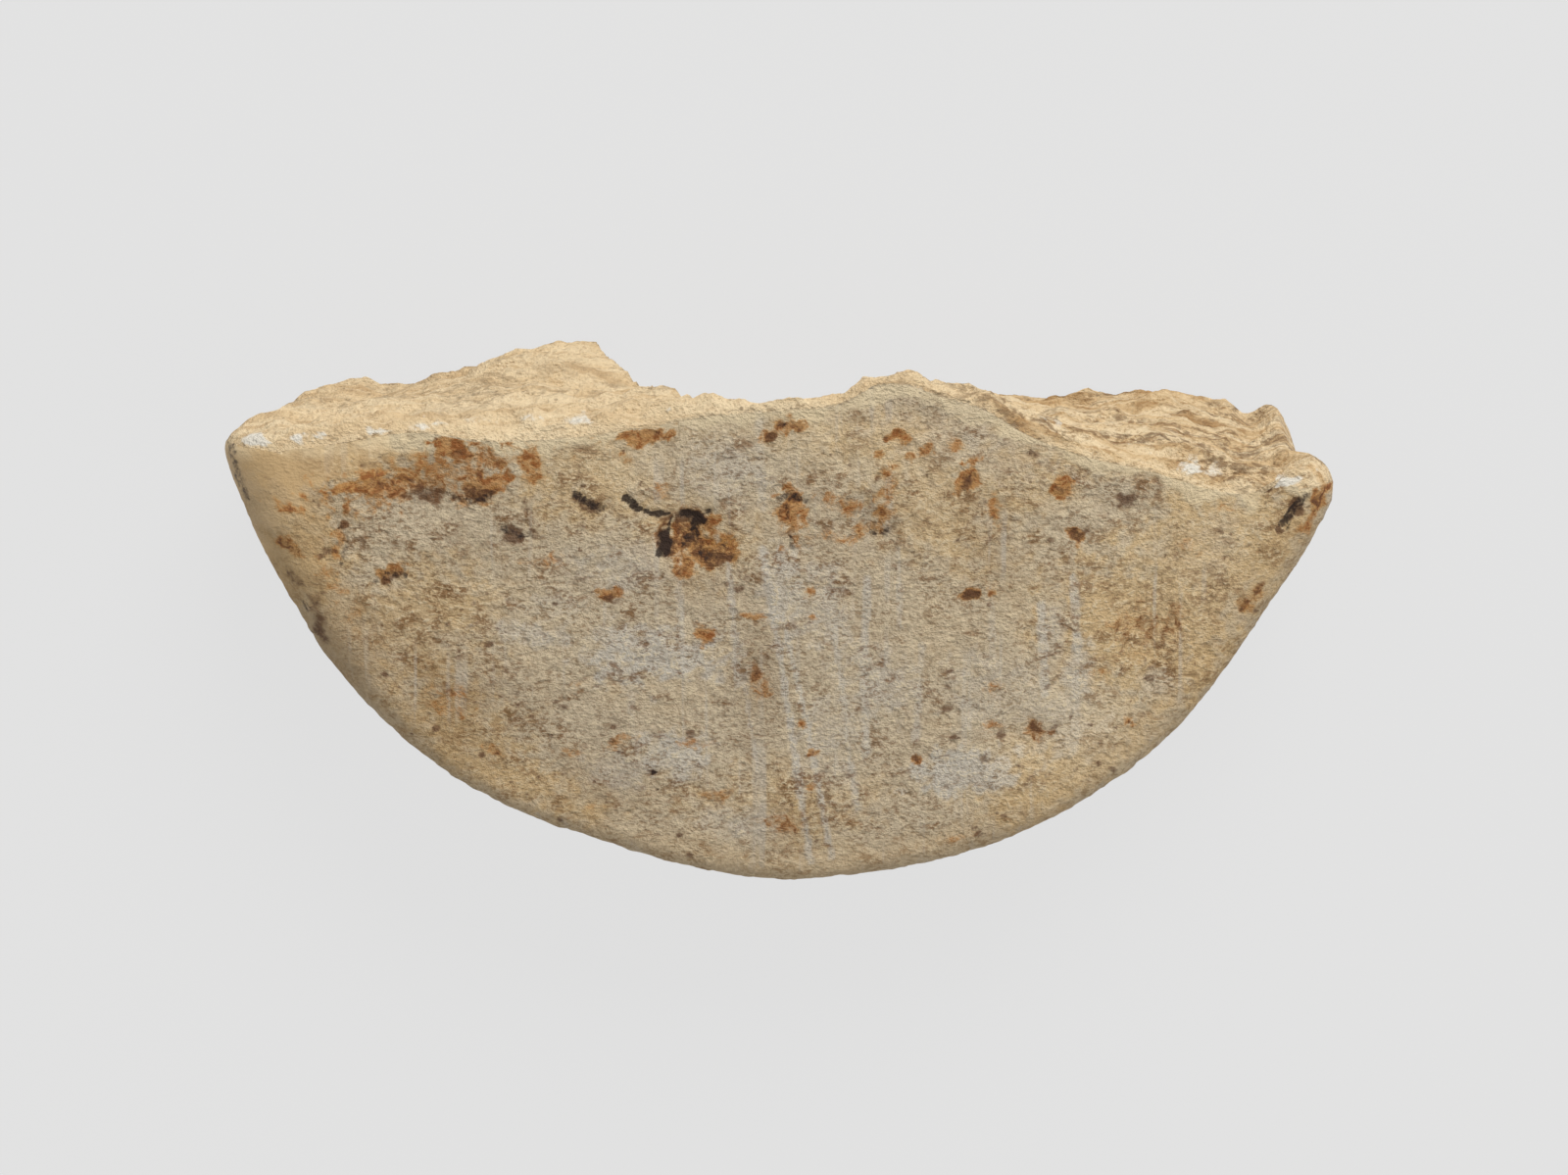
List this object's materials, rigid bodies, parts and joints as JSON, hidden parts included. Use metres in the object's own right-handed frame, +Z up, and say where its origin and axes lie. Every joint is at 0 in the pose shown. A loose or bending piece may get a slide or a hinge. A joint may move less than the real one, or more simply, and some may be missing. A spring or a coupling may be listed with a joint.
{
  "type": "spindle whorl fragment",
  "caption": "Half of a flat stone disc whorl, broken across its flared spindle hole, with a worn rounded rim and a rough bedded break.",
  "frame": {"origin": "middle of the half's footprint, on the surface that its flat back rests on", "axes": "+Z up along the spindle's axis, out of the front face; +Y towards the broken side; +X along the break"},
  "size_m": [0.0486, 0.0228, 0.01],
  "materials": {
    "weathered_stone": "matte weathered pale limestone with rust and brown stains, smoother at the rim"
  },
  "bodies": {
    "root": {"whorl_half": "weathered_stone"}
  },
  "joints": []
}
